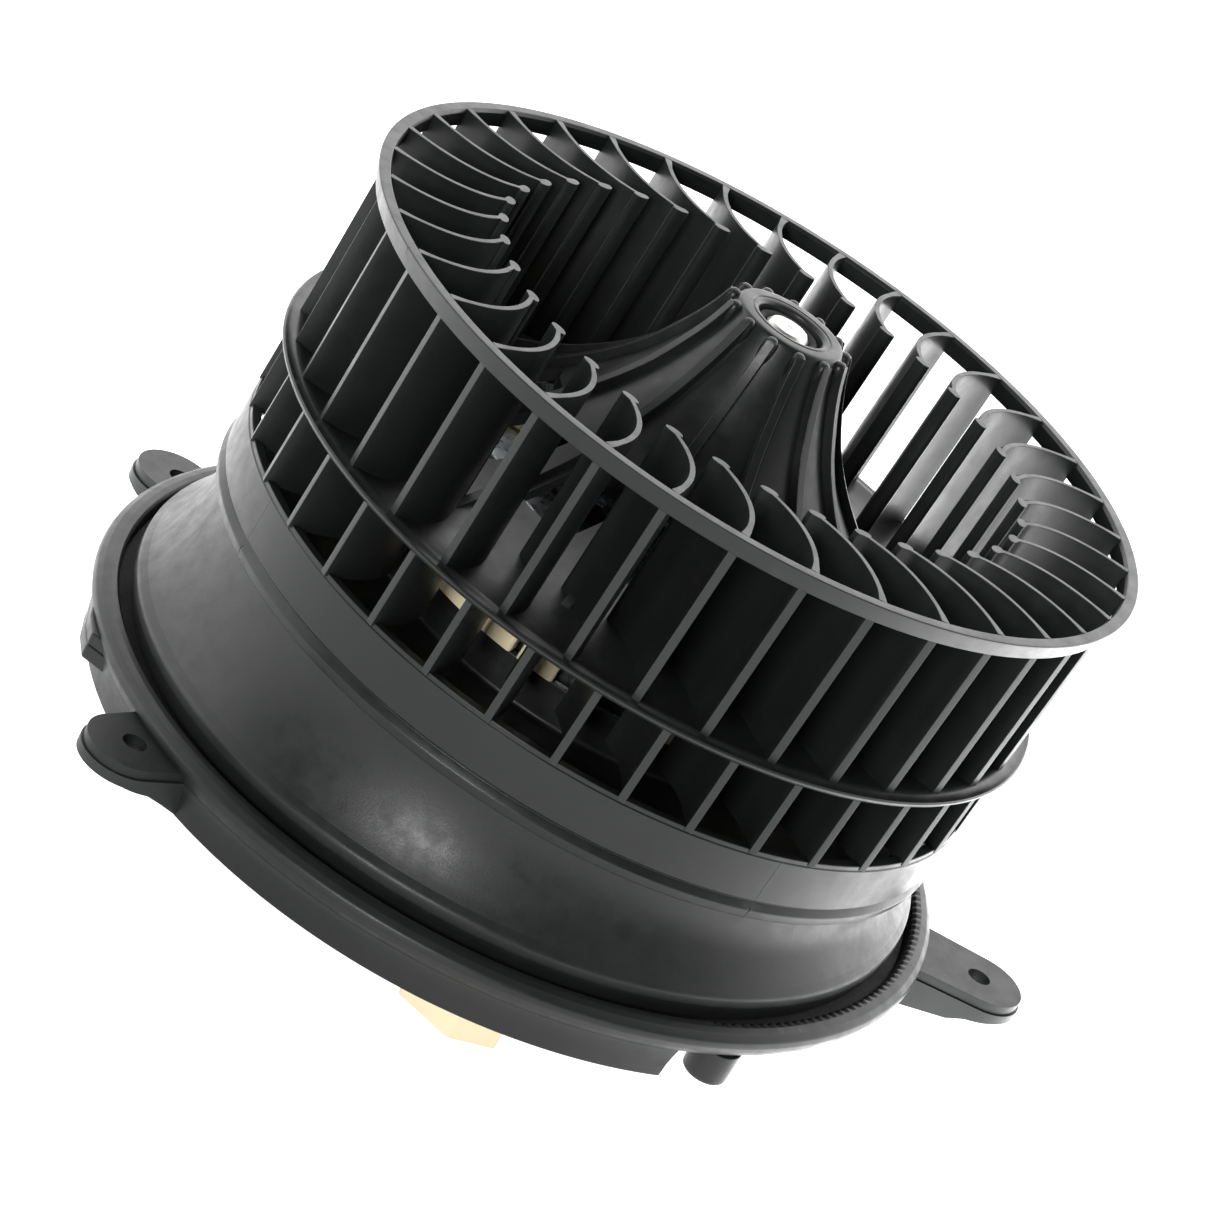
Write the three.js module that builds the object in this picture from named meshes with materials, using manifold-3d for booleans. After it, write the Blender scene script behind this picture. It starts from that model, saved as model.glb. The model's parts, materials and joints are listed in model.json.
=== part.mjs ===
// Interior blower: a moulded cage wheel on the shaft of a small DC motor, which sits in a round
// housing with a leaning, three-eared flange.
//
// Millimetres, +Z up along the shaft. Heights inside the blower group are measured from the rim's
// top plane, so most of them are negative; the whole blower is then raised until the flat end of
// the motor's rear cap lies at z = 0.

import * as THREE from "three";
import { mergeGeometries, mergeVertices } from "three/addons/utils/BufferGeometryUtils.js";
import Module from "manifold-3d";

const wasm = await Module();
wasm.setup();

// ---------------------------------------------------------------- driving dimensions

const gap = 0.3; // clearance between pieces that touch in the real blower
const rimHeight = 102; // rim's top plane above the rear cap's end face

// Fan wheel
const bladeCount = 36;
const bladeThickness = 1;
const upperBladeAzimuth = -0.7; // outer end of the first upper blade
const lowerBladeAzimuth = -5; // the lower blades stand about half a pitch round
const rimRadius = 73.2;
const rimDepth = 3.4;
const ribCount = 13;
const firstRibAzimuth = 14.8;
const ribThickness = 1.6;
const ribRise = 1.6;
const skinThickness = 1.8;
const plateTop = -33;
const plateUnderside = -34.8;
const lowerBladeFoot = -49.6;
const bandFoot = -61.7;

// Shaft and motor
const shaftRadius = 4;
const shaftTop = 7.4;
const shaftFoot = -100;
const insertRadius = 5.7;
const canRadius = 38;
const canWall = 2;
const canTop = -32.2;
const canFoot = -82;
const capRadius = 38.4;
const capWall = 1.8;
const capEndRadius = 18;
const coreRadius = 27.2;
const coreTop = -44;
const coreFoot = -76;
const toothCount = 12;
const magnetInnerRadius = 28;
const magnetSpan = 128;
const commutatorRadius = 11;
const commutatorTop = -84.6;
const commutatorFoot = -93.2;
const upperBearingHeight = -26.8; // middle of each bearing
const lowerBearingHeight = -97.3;
const brushHeight = -88.9; // middle of the brushes
const cardTop = -82.6;
const cardThickness = 1.8;

// Housing. The flange leans against the shaft, so the drum is taller on one side.
const flangeLean = 4.1; // degrees between the flange's normal and the shaft
const flangeLeanAzimuth = 204; // the side that the flange's normal leans towards
const flangeCentre = new THREE.Vector3(-0.35, 0, -78.11);
const drumTop = -57.4;
const collarRadius = 43.2; // of the collar that holds the motor in the drum
const drumWaist = -63; // above here the drum follows the shaft
const drumRidge = -77.4; // below here it follows the flange
const flangeWallRadius = 78.8;
const grooveRadius = 75.8;
const grooveFloor = -5.9;
const earTop = -5.5;
const partingTop = -6.9; // the flange ring's underside, in the flange's own heights
const partingFoot = -7.3; // the lower cover's top edge
const skirtFoot = -13.9;
const coverFloor = -11.9;
const ears = [
  { azimuth: 162.6, holeRadius: 80.7 },
  { azimuth: -127.8, holeRadius: 83.9 },
  { azimuth: 6.1, holeRadius: 90.8 },
];
const earHalfWidth = 7.4;
const screwAzimuths = [30, 150, 268];
const screwCircle = 56;

// Facets round a full turn
const wheelSides = 36;
const housingSides = 36;
const canSides = 28;
const smallSides = 16;

// ---------------------------------------------------------------- materials

const material = (color, roughness, metalness) =>
  new THREE.MeshStandardMaterial({ color, roughness, metalness });

const wheelPlastic = material(0x17191a, 0.42, 0);
const housingPlastic = material(0x1c1e1f, 0.5, 0);
const creamPlastic = material(0xe8d9a8, 0.5, 0);
const zincSteel = material(0xb9bfc2, 0.35, 0.9);
const shaftSteel = material(0x9a9c9d, 0.3, 0.95);
const laminatedSteel = material(0x5d5f61, 0.5, 0.8);
const copper = material(0xb66a35, 0.35, 0.9);
const bronze = material(0xa07a42, 0.55, 0.7);
const brass = material(0xc2a252, 0.35, 0.9);
const ferrite = material(0x2e2f31, 0.75, 0.1);
const carbon = material(0x1d1d1f, 0.7, 0.1);
const rubber = material(0x121212, 0.85, 0);

// ---------------------------------------------------------------- geometry helpers

const radians = THREE.MathUtils.degToRad;

const blower = new THREE.Group();
blower.position.z = rimHeight;

const flange = new THREE.Group();
flange.position.copy(flangeCentre);
flange.quaternion.setFromAxisAngle(
  new THREE.Vector3(-Math.sin(radians(flangeLeanAzimuth)), Math.cos(radians(flangeLeanAzimuth)), 0),
  radians(flangeLean),
);
flange.updateMatrix();
blower.add(flange);

function piece(name, geometry, finish, group = blower) {
  const mesh = new THREE.Mesh(geometry, finish);
  mesh.name = name;
  group.add(mesh);
  return mesh;
}

function polar(radius, azimuth) {
  return new THREE.Vector2(radius, 0).rotateAround(new THREE.Vector2(), radians(azimuth));
}

// Turns an outline of [radius, height] pairs round the Z axis. An outline that does not start on
// the axis is closed into a ring section.
function turned(outline, sides) {
  const points = outline.map(([radius, height]) => new THREE.Vector2(radius, height));
  if (THREE.ShapeUtils.area(points) < 0) points.reverse();
  if (points[0].x > 0) points.push(points[0].clone());
  return new THREE.LatheGeometry(points, sides).rotateX(Math.PI / 2);
}

// Extrudes an outline in the XY plane from one height up to another.
function upright(outline, foot, top, holes = []) {
  const shape = new THREE.Shape(outline);
  shape.holes = holes.map((hole) => new THREE.Path(hole));
  const settings = { depth: top - foot, bevelEnabled: false, curveSegments: 1, steps: 1 };
  return new THREE.ExtrudeGeometry(shape, settings).translate(0, 0, foot);
}

// Extrudes an outline of [radius, height] pairs sideways, as a fin that stands on one azimuth.
function fin(outline, thickness, azimuth) {
  const shape = new THREE.Shape(outline.map(([radius, height]) => new THREE.Vector2(radius, height)));
  return new THREE.ExtrudeGeometry(shape, { depth: thickness, bevelEnabled: false })
    .rotateX(Math.PI / 2)
    .translate(0, thickness / 2, 0)
    .rotateZ(radians(azimuth));
}

function box(size, centre) {
  return new THREE.BoxGeometry(...size).translate(...centre);
}

function circle(radius, sides, centre = new THREE.Vector2()) {
  return Array.from({ length: sides }, (_, i) => polar(radius, (360 * i) / sides).add(centre));
}

// A band of the plane between two radii and two azimuths.
function sector(inner, outer, start, end, steps) {
  const azimuths = Array.from({ length: steps + 1 }, (_, i) => start + ((end - start) * i) / steps);
  const outside = azimuths.map((azimuth) => polar(outer, azimuth));
  const inside = azimuths.map((azimuth) => polar(inner, azimuth)).reverse();
  return [...outside, ...inside];
}

function copiesRound(geometry, count, start = 0) {
  const copies = Array.from({ length: count }, (_, i) =>
    geometry.clone().rotateZ(radians(start + (360 * i) / count)),
  );
  return mergeGeometries(copies);
}

// A closed geometry as a solid that can be joined and cut.
function solid(geometry) {
  const plain = geometry.index ? geometry.toNonIndexed() : geometry.clone();
  plain.deleteAttribute("normal");
  plain.deleteAttribute("uv");
  const merged = mergeVertices(plain, 1e-4);
  const vertProperties = merged.attributes.position.array;
  const triVerts = new Uint32Array(merged.index.array);
  return new wasm.Manifold(new wasm.Mesh({ numProp: 3, vertProperties, triVerts }));
}

function geometryOf(body) {
  const { vertProperties, triVerts } = body.getMesh();
  const geometry = new THREE.BufferGeometry();
  geometry.setAttribute("position", new THREE.BufferAttribute(vertProperties, 3));
  geometry.setIndex(new THREE.BufferAttribute(triVerts, 1));
  return geometry;
}

// ---------------------------------------------------------------- fan wheel

// The trumpet's outer surface as [radius, height], from the hub's shoulder to the flat plate.
const trumpet = new THREE.SplineCurve(
  [
    [10.2, 7.2],
    [11.8, 2.6],
    [14.4, -2.8],
    [18.4, -9.4],
    [24.6, -16.6],
    [33, -23.8],
    [42, -29.4],
    [49.2, plateTop],
  ].map(([radius, height]) => new THREE.Vector2(radius, height)),
);
const trumpetSteps = 6;

// Points along the trumpet, moved along its normal: positive is up and outwards.
function trumpetOffset(distance, start = 0, end = 1, steps = trumpetSteps) {
  return Array.from({ length: steps + 1 }, (_, i) => {
    const at = start + ((end - start) * i) / steps;
    const point = trumpet.getPoint(at);
    const along = trumpet.getTangent(at);
    return [point.x - along.y * distance, point.y + along.x * distance];
  });
}

// A blade's middle line seen from above, from the outer end to the inner edge.
const bladeLine = new THREE.QuadraticBezierCurve(
  new THREE.Vector2(71.2, 0),
  new THREE.Vector2(57.8, 3.1),
  new THREE.Vector2(49.9, -5.6),
);
const beadLength = 3;
const beadDepth = 0.55;

function bladeSide(reach, steps, offset) {
  return Array.from({ length: steps + 1 }, (_, i) => {
    const at = (reach * i) / steps;
    const along = bladeLine.getTangent(at);
    return bladeLine.getPoint(at).add(new THREE.Vector2(-along.y, along.x).multiplyScalar(offset));
  });
}

function upperBladeOutline() {
  const steps = 4;
  const end = bladeLine.getPoint(1);
  const inward = end.clone().normalize().negate();
  const sideways = new THREE.Vector2(-inward.y, inward.x);
  const bead = [
    end.clone().addScaledVector(sideways, -beadLength / 2),
    end.clone().addScaledVector(inward, beadDepth),
    end.clone().addScaledVector(sideways, beadLength / 2),
  ];
  const left = bladeSide(0.97, steps, bladeThickness / 2);
  const right = bladeSide(0.97, steps, -bladeThickness / 2).reverse();
  return [...left, ...bead.reverse(), ...right];
}

function lowerBladeOutline() {
  const steps = 3;
  const reach = 0.78;
  const left = bladeSide(reach, steps, bladeThickness / 2);
  const right = bladeSide(reach, steps, -bladeThickness / 2).reverse();
  return [...left, ...right];
}

function hubAndTrumpet() {
  const outside = trumpetOffset(0);
  const inside = trumpetOffset(-skinThickness, 0.12, 0.94).reverse();
  return turned(
    [
      [insertRadius + gap, 7.6],
      [insertRadius + gap + 0.4, 8],
      [9.4, 8],
      ...outside,
      [71.2, plateTop],
      [72.9, -33.4],
      [71.4, plateUnderside],
      [49, plateUnderside],
      ...inside,
      [10.2, -13],
      [insertRadius + gap, -13],
    ],
    wheelSides,
  );
}

function hubRib(azimuth) {
  const ridge = trumpetOffset(ribRise, 0.02, 0.94, 5);
  const root = trumpetOffset(-0.9, 0.02, 0.98, 3).reverse();
  return fin([...ridge, ...root], ribThickness, azimuth);
}

// One window between each two ribs, low on the trumpet and nearer to the rib that it follows.
function coolingWindows() {
  const outline = [
    polar(28, 3.4),
    polar(41.6, 2.6),
    polar(41.9, 10),
    polar(41.6, 17.6),
    polar(35.7, 20.6),
    polar(28, 21.4),
  ];
  return copiesRound(upright(outline, -42, -8), ribCount, firstRibAzimuth);
}

function wheelHub() {
  const ribs = copiesRound(hubRib(0), ribCount, firstRibAzimuth);
  return geometryOf(solid(hubAndTrumpet()).add(solid(ribs)).subtract(solid(coolingWindows())));
}

// The upper blades hang from the rim and the lower ones carry the band. Each cage is a node of its
// own that stands just clear of the hub's plate, so that the spaces inside the wheel stay open.
function upperCage() {
  const blade = upright(upperBladeOutline(), plateTop + gap, 0);
  const rim = turned(
    [
      [70.9, 0],
      [rimRadius, 0],
      [rimRadius - 1.2, -rimDepth],
      [70.9, -rimDepth],
    ],
    wheelSides,
  );
  return geometryOf(solid(copiesRound(blade, bladeCount, upperBladeAzimuth)).add(solid(rim)));
}

function lowerCage() {
  const blade = upright(lowerBladeOutline(), lowerBladeFoot, plateUnderside - gap);
  const band = turned(
    [
      [68.5, -49],
      [70.5, -49],
      [70.5, -58],
      [69.8, -58.6],
      [70.9, -60],
      [70.4, bandFoot],
      [68.5, bandFoot],
    ],
    wheelSides,
  );
  return geometryOf(solid(copiesRound(blade, bladeCount, lowerBladeAzimuth)).add(solid(band)));
}

// ---------------------------------------------------------------- rotor pieces

function hubInsert() {
  const bore = shaftRadius + gap;
  return turned(
    [
      [bore, -12.6],
      [insertRadius, -12.6],
      [insertRadius, 6.4],
      [bore, 6.4],
    ],
    smallSides,
  );
}

function motorShaft() {
  const chamfer = 0.8;
  return turned(
    [
      [0, shaftFoot],
      [shaftRadius - chamfer, shaftFoot],
      [shaftRadius, shaftFoot + chamfer],
      [shaftRadius, shaftTop - chamfer],
      [shaftRadius - chamfer, shaftTop],
      [0, shaftTop],
    ],
    smallSides,
  );
}

// Slotted laminations: each tooth has a wide tip on a narrower neck.
function armatureCore() {
  const outline = [];
  for (let tooth = 0; tooth < toothCount; tooth += 1) {
    const middle = (360 * tooth) / toothCount;
    outline.push(polar(14, middle - 8.5), polar(23.6, middle - 5.5), polar(24.6, middle - 12.8));
    outline.push(polar(coreRadius, middle - 12.8), polar(coreRadius, middle));
    outline.push(polar(coreRadius, middle + 12.8), polar(24.6, middle + 12.8));
    outline.push(polar(23.6, middle + 5.5), polar(14, middle + 8.5));
  }
  return upright(outline, coreFoot, coreTop, [circle(shaftRadius + gap, 12)]);
}

// Coil sides in the slots, joined above and below the core by the end turns.
function armatureWindings() {
  const slotFill = [polar(14.9, -5), polar(23, -8.1), polar(23, 8.1), polar(14.9, 5)];
  const coilSides = upright(slotFill, coreFoot - 3, coreTop + 3);
  const endTurns = (face, away) =>
    turned(
      [
        [9.5, face],
        [24, face],
        [24, face + 3.4 * away],
        [20, face + 5.6 * away],
        [9.5, face + 5.6 * away],
      ],
      smallSides,
    );
  const body = solid(copiesRound(coilSides, toothCount, 180 / toothCount))
    .add(solid(endTurns(coreTop + gap, 1)))
    .add(solid(endTurns(coreFoot - gap, -1)));
  return geometryOf(body);
}

function commutator() {
  const outline = [];
  for (let bar = 0; bar < toothCount; bar += 1) {
    const start = (360 * bar) / toothCount;
    outline.push(polar(9.9, start + 1.5), polar(commutatorRadius, start + 1.5));
    outline.push(polar(commutatorRadius, start + 15), polar(commutatorRadius, start + 28.5));
    outline.push(polar(9.9, start + 28.5));
  }
  return upright(outline, commutatorFoot, commutatorTop, [circle(shaftRadius + gap, 12)]);
}

function washer(foot) {
  return upright(circle(7, 16), foot, foot + 0.6, [circle(shaftRadius + gap, 16)]);
}

// ---------------------------------------------------------------- motor frame

// A deep-drawn steel pot, open at the foot, with a bearing boss drawn up from its closed end.
function motorCan() {
  const inside = canRadius - canWall;
  return turned(
    [
      [inside, canFoot],
      [40.4, canFoot],
      [40.4, canFoot + 1.6],
      [canRadius, canFoot + 1.6],
      [canRadius, canTop - 2.8],
      [canRadius - 2.6, canTop],
      [13, canTop],
      [11.2, canTop + 1.8],
      [11.2, -22.6],
      [9.8, -21.2],
      [5.2, -21.2],
      [5.2, -22.8],
      [9, -23.4],
      [9, -31.2],
      [11.6, -34],
      [inside - 1.6, -34],
      [inside, -36],
    ],
    canSides,
  );
}

// The steel cup that closes the motor. Its flat end is the lowest face of the blower.
function motorRearCap() {
  const inside = capRadius - capWall;
  const top = canFoot - 0.4;
  const end = -rimHeight;
  return turned(
    [
      [0, end],
      [capEndRadius, end],
      [capEndRadius + 1, end + 1],
      [21, -97.6],
      [capRadius - 2, -97.6],
      [capRadius, -95.6],
      [capRadius, top],
      [inside, top],
      [inside, -95],
      [inside - 1, -95.8],
      [10.6, -95.8],
      [9.2, -97],
      [9.2, -100.4],
      [0, -100.4],
    ],
    canSides,
  );
}

// A sintered barrel bearing, bored to run on the shaft.
function bearing(middle) {
  const bore = shaftRadius + 0.1;
  return turned(
    [
      [bore, middle - 3],
      [7, middle - 3],
      [8.5, middle - 1.2],
      [8.5, middle + 1.2],
      [7, middle + 3],
      [bore, middle + 3],
    ],
    smallSides,
  );
}

function bearingRetainer(foot) {
  return turned(
    [
      [5.6, foot],
      [8.6, foot + 0.2],
      [8.6, foot + 0.8],
      [5.6, foot + 0.6],
    ],
    smallSides,
  );
}

function magnet(azimuth) {
  const outline = sector(
    magnetInnerRadius,
    canRadius - canWall - gap,
    azimuth - magnetSpan / 2,
    azimuth + magnetSpan / 2,
    9,
  );
  return upright(outline, -79, -41);
}

// A bowed leaf that pushes two magnet ends apart.
function magnetClip(azimuth) {
  const halfSpan = (180 - magnetSpan) / 2 - 1.5;
  const outline = [
    polar(34.6, azimuth - halfSpan),
    polar(35.2, azimuth),
    polar(34.6, azimuth + halfSpan),
    polar(29.5, azimuth + halfSpan),
    polar(29.5, azimuth + halfSpan - 1.8),
    polar(33.6, azimuth + halfSpan - 2.4),
    polar(34, azimuth),
    polar(33.6, azimuth - halfSpan + 2.4),
    polar(29.5, azimuth - halfSpan + 1.8),
    polar(29.5, azimuth - halfSpan),
  ];
  return upright(outline, -72, -48);
}

function brushCard() {
  return upright(circle(36.2, canSides), cardTop - cardThickness, cardTop, [circle(14, smallSides)]);
}

// The brush gear is drawn for the brush on +X and turned round for the other one.
const holderInner = 13.4;
const holderOuter = 27.4;

function brushHolder() {
  const length = holderOuter - holderInner;
  const shell = box([length, 7.2, 7.4], [holderInner + length / 2, 0, brushHeight]);
  const passage = box([length, 5.4, 5.8], [holderInner + length / 2 - 0.9, 0, brushHeight]);
  return geometryOf(solid(shell).subtract(solid(passage)));
}

function carbonBrush() {
  const tip = commutatorRadius + 0.35;
  const back = 20;
  return box([back - tip, 4.8, 5.2], [(tip + back) / 2, 0, brushHeight]);
}

class Helix extends THREE.Curve {
  constructor(radius, start, end, turns) {
    super();
    this.radius = radius;
    this.start = start;
    this.end = end;
    this.turns = turns;
  }

  getPoint(t, target = new THREE.Vector3()) {
    const angle = 2 * Math.PI * this.turns * t;
    const along = this.start + (this.end - this.start) * t;
    return target.set(along, this.radius * Math.cos(angle), this.radius * Math.sin(angle));
  }
}

function brushSpring() {
  const turns = 4;
  const path = new Helix(1.9, 20.7, 25.8, turns);
  const wire = new THREE.Shape(circle(0.32, 5));
  const settings = { steps: turns * 9, extrudePath: path, bevelEnabled: false };
  return new THREE.ExtrudeGeometry(wire, settings).translate(0, 0, brushHeight);
}

// A ferrite rod with its winding, lying across the underside of the brush card.
function choke(azimuth) {
  const outline = [[0, -6.4], [1.4, -6.4], [1.4, -5]];
  for (let ridge = 0; ridge < 4; ridge += 1) {
    outline.push([2.5, -3.75 + 2.5 * ridge], [2, -2.5 + 2.5 * ridge]);
  }
  outline.push([1.4, 5], [1.4, 6.4], [0, 6.4]);
  return turned(outline, 10)
    .rotateX(Math.PI / 2)
    .translate(28.5, 0, -88)
    .rotateZ(radians(azimuth));
}

function thermalCutout() {
  const outline = sector(25, 31, 258, 282, 3);
  return upright(outline, -89, -85);
}

// ---------------------------------------------------------------- housing

// Moves a geometry's lower part with the flange, so that it leans more the lower it goes.
function leaned(geometry) {
  const position = geometry.attributes.position;
  const straight = new THREE.Vector3();
  const leaning = new THREE.Vector3();
  for (let i = 0; i < position.count; i += 1) {
    straight.fromBufferAttribute(position, i);
    leaning.copy(straight);
    leaning.z -= flangeCentre.z;
    leaning.applyMatrix4(flange.matrix);
    const share = THREE.MathUtils.clamp((drumWaist - straight.z) / (drumWaist - drumRidge), 0, 1);
    straight.lerp(leaning, share);
    position.setXYZ(i, straight.x, straight.y, straight.z);
  }
  return geometry;
}

// Height in the blower of a level on the leaning flange, straight above or below a point.
function flangeLevel(level, x, y) {
  const normal = new THREE.Vector3(0, 0, 1).applyQuaternion(flange.quaternion);
  const onPlane = flangeCentre.clone().addScaledVector(normal, level);
  return onPlane.z - (normal.x * (x - onPlane.x) + normal.y * (y - onPlane.y)) / normal.z;
}

function drumShell() {
  const shell = turned(
    [
      [64.4, drumTop],
      [66.6, drumTop],
      [67, drumWaist],
      [67.6, -68],
      [69.3, -72],
      [72.2, -75.6],
      [74.1, drumRidge],
      [73, -79],
      [73, -82.7],
      [71.1, -82.7],
      [70.9, -77.4],
      [67, -71.4],
      [65, drumWaist],
    ],
    housingSides,
  );
  return leaned(shell);
}

// Collar round the can's damping ring.
function motorCollar() {
  return turned(
    [
      [41.6, -64],
      [41.6, -50.4],
      [collarRadius, -50.4],
      [collarRadius, -64],
    ],
    housingSides,
  );
}

// Deck, on three screw posts, that carries the collar and fills the drum's mouth.
function motorCarrier() {
  const deck = turned(
    [
      [collarRadius + gap, drumTop - 1.8],
      [collarRadius + gap, drumTop],
      [64.1, drumTop],
      [64.1, drumTop - 1.8],
    ],
    housingSides,
  );
  let body = solid(deck);
  for (const azimuth of screwAzimuths) {
    const centre = polar(screwCircle, azimuth);
    const foot = flangeLevel(coverFloor + 2, centre.x, centre.y) + 0.8;
    const post = upright(circle(4.2, 12, centre), foot, drumTop - 1, [circle(2.1, 10, centre)]);
    body = body.add(solid(post));
  }
  return geometryOf(body);
}

// Outline of an ear seen from above: straight sides and a round end just beyond its hole.
function earOutline({ holeRadius }) {
  const root = 74.2;
  const centre = new THREE.Vector2(holeRadius + 1, 0);
  const end = Array.from({ length: 9 }, (_, i) => polar(earHalfWidth, -90 + 22.5 * i).add(centre));
  return [new THREE.Vector2(root, -earHalfWidth - 0.8), ...end, new THREE.Vector2(root, earHalfWidth + 0.8)];
}

function earHole(ear) {
  const centre = new THREE.Vector2(ear.holeRadius, 0);
  return upright(circle(2.15, 12, centre), -20, 0).rotateZ(radians(ear.azimuth));
}

// A wedge on the outer wall, with sloping sides.
function wallBlock(foot, top) {
  const outer = [polar(77.2, -163), polar(80.9, -151.5), polar(81.2, -148), polar(77.2, -145)];
  const inner = [polar(77.2, -151), polar(77.2, -157)];
  return upright([...outer, ...inner], foot, top);
}

// The round lip, the groove's floor inside it and the upper layer of the ears.
function flangeRing() {
  const ring = turned(
    [
      [68, partingTop],
      [flangeWallRadius, partingTop],
      [79.6, -6],
      [80, -4.8],
      [79.8, -3.8],
      [78.8, -2.9],
      [77.4, -2.5],
      [76.4, -2.5],
      [grooveRadius, -3],
      [grooveRadius, grooveFloor],
      [68, grooveFloor],
    ],
    housingSides,
  );
  let body = solid(ring).add(solid(wallBlock(partingTop, -5.2)));
  const groove = turned(
    [
      [68.2, grooveFloor],
      [grooveRadius, grooveFloor],
      [grooveRadius, 0],
      [68.2, 0],
    ],
    housingSides,
  );
  for (const ear of ears) {
    const layer = upright(earOutline(ear), partingTop, earTop).rotateZ(radians(ear.azimuth));
    body = body.add(solid(layer).subtract(solid(groove))).subtract(solid(earHole(ear)));
  }
  return geometryOf(body);
}

// Dished underside of the housing, with the outer skirt, the lower layer of the ears and the peg.
function lowerCover() {
  const dish = turned(
    [
      [44.6, coverFloor],
      [64, coverFloor],
      [flangeWallRadius - 1.4, -7.9],
      [flangeWallRadius - 0.2, partingFoot],
      [75, partingFoot],
      [63.4, coverFloor + 2],
      [46.6, coverFloor + 2],
      [46.6, -7],
      [44.6, -7],
    ],
    housingSides,
  );
  const skirtWall = turned(
    [
      [75.2, skirtFoot],
      [77.5, skirtFoot],
      [77.8, -11],
      [78.2, -9],
      [flangeWallRadius - 0.1, partingFoot],
      [75.2, partingFoot],
    ],
    housingSides,
  );
  const skirt = solid(skirtWall).intersect(solid(upright(sector(70, 82, -176, -52, 14), -20, 0)));
  const peg = upright(circle(4, 14, polar(74.6, -43.6)), -14.4, -8.4);
  const hollow = turned(
    [
      [0, coverFloor + 2],
      [63.4, coverFloor + 2],
      [75, partingFoot],
      [0, partingFoot],
    ],
    housingSides,
  );
  let body = solid(dish).add(skirt).add(solid(peg)).add(solid(wallBlock(-10, partingFoot)));
  for (const ear of ears) {
    const layer = upright(earOutline(ear), -20, partingFoot).rotateZ(radians(ear.azimuth));
    const wedge = fin(
      [
        [70, partingFoot],
        [100, partingFoot],
        [100, -9.2],
        [ear.holeRadius, -9.7],
        [78, -13],
        [76, -13],
        [70, -8.6],
      ],
      30,
      ear.azimuth,
    );
    const lower = solid(layer).intersect(solid(wedge)).subtract(solid(hollow));
    body = body.add(lower).subtract(solid(earHole(ear)));
  }
  for (const azimuth of screwAzimuths) {
    const hole = circle(2.9, 12, polar(screwCircle, azimuth).sub(flangeCentre));
    body = body.subtract(solid(upright(hole, -20, -5)));
  }
  const passage = box([16, 4, 10], [13.8, bladeSlotY, coverFloor]);
  return geometryOf(body.subtract(solid(passage)));
}

function isolatingRing() {
  const foot = grooveFloor + gap;
  return upright(circle(grooveRadius - gap, housingSides), foot, foot + 0.5, [circle(70, housingSides)]);
}

function coverScrew(azimuth) {
  const centre = polar(screwCircle, azimuth);
  const seat = flangeLevel(coverFloor, centre.x, centre.y) - 0.8;
  return turned(
    [
      [0, seat - 2.4],
      [3, seat - 2.4],
      [3.9, seat - 1.4],
      [3.9, seat],
      [1.7, seat],
      [1.7, seat + 12],
      [1, seat + 13.5],
      [0, seat + 13.5],
    ],
    8,
  ).translate(centre.x, centre.y, 0);
}

function canDampingRing() {
  return turned(
    [
      [canRadius + gap, -63],
      [41.3, -63],
      [41.3, -56],
      [canRadius + gap, -56],
    ],
    canSides,
  );
}

function rearDampingRing() {
  return turned(
    [
      [capRadius + gap, -93],
      [41.4, -92],
      [40.2, -90],
      [41.4, -88],
      [capRadius + gap, -87],
    ],
    canSides,
  );
}

// Cream collar round the can's shoulder. Tabs hang from it and three arms reach over the can's top.
function terminalCarrier() {
  const inner = canRadius + gap;
  const collarTop = -37.6;
  const collar = [[inner, -40.4], [45, -40.4], [45, collarTop], [inner, collarTop]];
  let body = solid(turned(collar, canSides));
  for (const third of [0, 120, 240]) {
    for (const azimuth of [-118, -106, -94, -64]) {
      const start = azimuth + third - 4.4;
      body = body.add(solid(upright(sector(43.2, 46, start, start + 8.8, 1), -49.5, collarTop)));
    }
  }
  const profile = [
    [24, -31.8],
    [24, -30.4],
    [36.4, -30.4],
    [40, -34.4],
    [40, -39],
    [inner, -39],
    [inner, -34.8],
    [35.8, -31.8],
  ];
  const arms = copiesRound(fin(profile, 11, 0), 3, -178);
  return geometryOf(body.add(solid(arms)));
}

// A shroud under the lower cover, open downwards, with slots for the two blades.
const connectorFoot = -19.6;
const connectorTop = coverFloor - gap;
const bladeSlots = [9.9, 17.4];
const bladeSlotY = -62;

function connectorHousing() {
  const outline = [
    [4.8, -57.2],
    [4.8, -69.4],
    [15, -73.2],
    [22.6, -69.6],
    [22.6, -57.2],
  ].map(([x, y]) => new THREE.Vector2(x, y));
  const hollow = [
    [6.6, -59],
    [6.6, -68.2],
    [15, -71.2],
    [20.8, -68.6],
    [20.8, -59],
  ].map(([x, y]) => new THREE.Vector2(x, y));
  let body = solid(upright(outline, connectorFoot, connectorTop));
  body = body.subtract(solid(upright(hollow, connectorFoot - 1, connectorTop - 1.8)));
  for (const x of bladeSlots) {
    body = body.subtract(solid(box([7, 1.6, 6], [x, bladeSlotY, connectorTop])));
  }
  return geometryOf(body);
}

function terminalBlade(x) {
  return box([6.3, 0.8, 8.6], [x, bladeSlotY, coverFloor - 1]);
}

// ---------------------------------------------------------------- assembly

piece("wheel_hub", wheelHub(), wheelPlastic);
piece("upper_cage", upperCage(), wheelPlastic);
piece("lower_cage", lowerCage(), wheelPlastic);
piece("hub_insert", hubInsert(), rubber);
piece("motor_shaft", motorShaft(), shaftSteel);
piece("armature_core", armatureCore(), laminatedSteel);
piece("armature_windings", armatureWindings(), copper);
piece("commutator", commutator(), copper);
piece("thrust_washer_upper", washer(upperBearingHeight - 8.6), rubber);
piece("thrust_washer_lower", washer(lowerBearingHeight + 3.2), rubber);

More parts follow.
